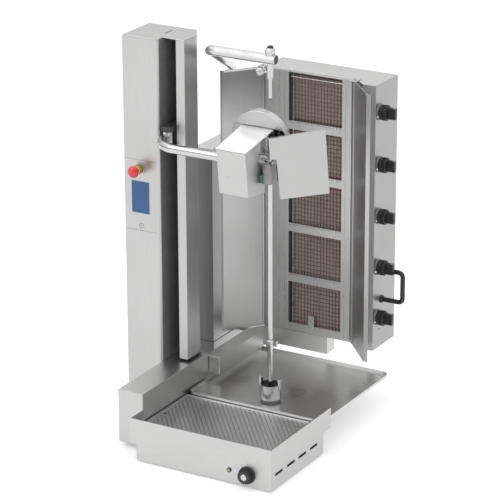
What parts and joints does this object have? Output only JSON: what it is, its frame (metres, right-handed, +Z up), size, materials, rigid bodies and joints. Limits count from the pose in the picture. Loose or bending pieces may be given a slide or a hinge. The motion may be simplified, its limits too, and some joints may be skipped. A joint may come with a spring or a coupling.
{
  "type": "vertical rotisserie oven",
  "caption": "Vertical gas rotisserie with a burner housing on a slide, a driven spit, a lift column and an arm that carries a slicing head.",
  "frame": {"origin": "on the floor below the centre of the bounding box", "axes": "+X to the operator's right, along the front panel; +Y from the operator towards the burners; +Z up, along the spit"},
  "size_m": [0.668, 0.844, 1.129],
  "materials": {
    "brushed_sheet": "brushed sheet steel",
    "satin_sheet": "satin sheet steel",
    "polished_bar": "polished round bar",
    "dark_metal": "matt black paint",
    "black_plastic": "fine matt",
    "black_rubber": "matt",
    "red_plastic": "semi-gloss",
    "yellow_plastic": "semi-gloss",
    "screen_glass": "gloss film over a display",
    "lamp_lens": "translucent lens",
    "burner_mesh": "perforated ceramic behind wire mesh",
    "lens_dome": "dark green translucent",
    "brass": "machined"
  },
  "bodies": {
    "frame": {"base_tub": "brushed_sheet", "base_cabinet": "brushed_sheet", "front_panel": "brushed_sheet", "side_panel": "brushed_sheet", "foot_1": "black_rubber", "foot_2": "black_rubber", "foot_3": "black_rubber", "drip_pan": "satin_sheet", "rear_frame": "satin_sheet", "pilot_lamp": "lamp_lens", "plinth": "brushed_sheet", "column_box": "brushed_sheet", "rail_cover": "brushed_sheet", "column_cap": "brushed_sheet", "estop_base": "yellow_plastic", "screen": "screen_glass", "lift_motor": "dark_metal", "guide_rod": "polished_bar", "pillar_base": "satin_sheet", "pillar": "satin_sheet", "slide_beam": "satin_sheet", "spit_motor": "dark_metal"},
    "crumb_tray": {"crumb_tray": "satin_sheet"},
    "thermostat_knob": {"thermostat_knob": "black_plastic"},
    "estop_button": {"estop_button": "red_plastic"},
    "lift_carriage": {"lift_carriage": "dark_metal"},
    "slicer_arm": {"slicer_arm": "polished_bar"},
    "slicer_head": {"head_box": "brushed_sheet", "head_lid": "polished_bar", "blade_guard": "polished_bar", "side_shield": "brushed_sheet", "camera_dome": "lens_dome", "blade_motor": "dark_metal"},
    "thumb_screw": {"thumb_screw": "polished_bar"},
    "blade": {"blade": "polished_bar"},
    "spit": {"spit_rod": "polished_bar", "drive_cup": "polished_bar", "spit_gear": "brass"},
    "meat_support": {"meat_support": "polished_bar"},
    "motor_pinion": {"motor_pinion": "brass"},
    "upper_arm": {"upper_arm": "polished_bar"},
    "lock_pin": {"lock_pin": "polished_bar"},
    "pin_clamp_knob": {"pin_clamp_knob": "polished_bar"},
    "housing": {"housing_case": "brushed_sheet", "burner_frame": "brushed_sheet", "burner_1": "burner_mesh", "burner_2": "burner_mesh", "burner_3": "burner_mesh", "burner_4": "burner_mesh", "burner_5": "burner_mesh", "gas_manifold": "brass", "cross_beam": "satin_sheet", "pull_handle": "black_plastic"},
    "left_wing": {"left_wing": "brushed_sheet"},
    "right_wing": {"right_wing": "brushed_sheet"},
    "gas_knob_1": {"gas_knob_1": "black_plastic"},
    "gas_knob_2": {"gas_knob_2": "black_plastic"},
    "gas_knob_3": {"gas_knob_3": "black_plastic"},
    "gas_knob_4": {"gas_knob_4": "black_plastic"},
    "gas_knob_5": {"gas_knob_5": "black_plastic"}
  },
  "joints": [
    {"name": "tray_lift", "type": "slide", "parent": "frame", "child": "crumb_tray", "axis": [0, 0, 1], "range_m": [0, 0.08]},
    {"name": "thermostat_turn", "type": "hinge", "parent": "frame", "child": "thermostat_knob", "pos_m": [0.2364, -0.4003, 0.0387], "axis": [0, 1, 0], "range_deg": [0, 270]},
    {"name": "estop_press", "type": "slide", "parent": "frame", "child": "estop_button", "axis": [0, 1, 0], "range_m": [0, 0.005], "stiffness_N_per_m": 200},
    {"name": "lift", "type": "slide", "parent": "frame", "child": "lift_carriage", "axis": [0, 0, 1], "range_m": [-0.58, 0.12]},
    {"name": "arm_swing", "type": "hinge", "parent": "lift_carriage", "child": "slicer_arm", "pos_m": [-0.1975, -0.084, 0.84], "axis": [0, 0, 1], "range_deg": [-18, 0]},
    {"name": "head_tilt", "type": "hinge", "parent": "slicer_arm", "child": "slicer_head", "pos_m": [0.027, -0.165, 0.84], "axis": [1, 0, 0], "range_deg": [-6, 6]},
    {"name": "shield_screw_turn", "type": "hinge", "parent": "slicer_head", "child": "thumb_screw", "pos_m": [0.1175, -0.106, 0.834], "axis": [1, 0, 0], "range_deg": [-180, 180]},
    {"name": "blade_spin", "type": "hinge", "parent": "slicer_head", "child": "blade", "pos_m": [0.0865, -0.066, 0.87], "axis": [0, 0.9925, 0.1219], "continuous": true},
    {"name": "spit_spin", "type": "hinge", "parent": "frame", "child": "spit", "pos_m": [0.096, -0.026, 0.098], "axis": [0, 0, 1], "continuous": true},
    {"name": "support_slide", "type": "slide", "parent": "spit", "child": "meat_support", "axis": [0, 0, 1], "range_m": [-0.08, 0.3]},
    {"name": "pinion_spin", "type": "hinge", "parent": "frame", "child": "motor_pinion", "pos_m": [0.054, -0.026, 0.075], "axis": [0, 0, 1], "continuous": true},
    {"name": "upper_arm_swing", "type": "hinge", "parent": "frame", "child": "upper_arm", "pos_m": [-0.2335, 0.3295, 0.726], "axis": [0, 0, 1], "range_deg": [0, 60]},
    {"name": "pin_pull", "type": "slide", "parent": "upper_arm", "child": "lock_pin", "axis": [0, 0, 1], "range_m": [0, 0.03]},
    {"name": "pin_clamp_turn", "type": "hinge", "parent": "upper_arm", "child": "pin_clamp_knob", "pos_m": [0.0865, -0.026, 1.054], "axis": [1, 0, 0], "range_deg": [-180, 180]},
    {"name": "housing_slide", "type": "slide", "parent": "frame", "child": "housing", "axis": [0, 1, 0], "range_m": [-0.12, 0]},
    {"name": "left_wing_fold", "type": "hinge", "parent": "housing", "child": "left_wing", "pos_m": [-0.118, 0.3085, 0.1635], "axis": [0, 0, 1], "range_deg": [-4, 60]},
    {"name": "right_wing_fold", "type": "hinge", "parent": "housing", "child": "right_wing", "pos_m": [0.182, 0.303, 0.1635], "axis": [0, 0, 1], "range_deg": [-60, 12]},
    {"name": "gas_knob_1_turn", "type": "hinge", "parent": "housing", "child": "gas_knob_1", "pos_m": [0.2593, 0.311, 0.26], "axis": [1, 0, 0], "range_deg": [0, 210]},
    {"name": "gas_knob_2_turn", "type": "hinge", "parent": "housing", "child": "gas_knob_2", "pos_m": [0.2593, 0.311, 0.4145], "axis": [1, 0, 0], "range_deg": [0, 210]},
    {"name": "gas_knob_3_turn", "type": "hinge", "parent": "housing", "child": "gas_knob_3", "pos_m": [0.2593, 0.311, 0.569], "axis": [1, 0, 0], "range_deg": [0, 210]},
    {"name": "gas_knob_4_turn", "type": "hinge", "parent": "housing", "child": "gas_knob_4", "pos_m": [0.2593, 0.311, 0.7235], "axis": [1, 0, 0], "range_deg": [0, 210]},
    {"name": "gas_knob_5_turn", "type": "hinge", "parent": "housing", "child": "gas_knob_5", "pos_m": [0.2593, 0.311, 0.878], "axis": [1, 0, 0], "range_deg": [0, 210]}
  ],
  "couplings": [
    {"joint": "pinion_spin", "follows": "spit_spin", "ratio": -2}
  ]
}
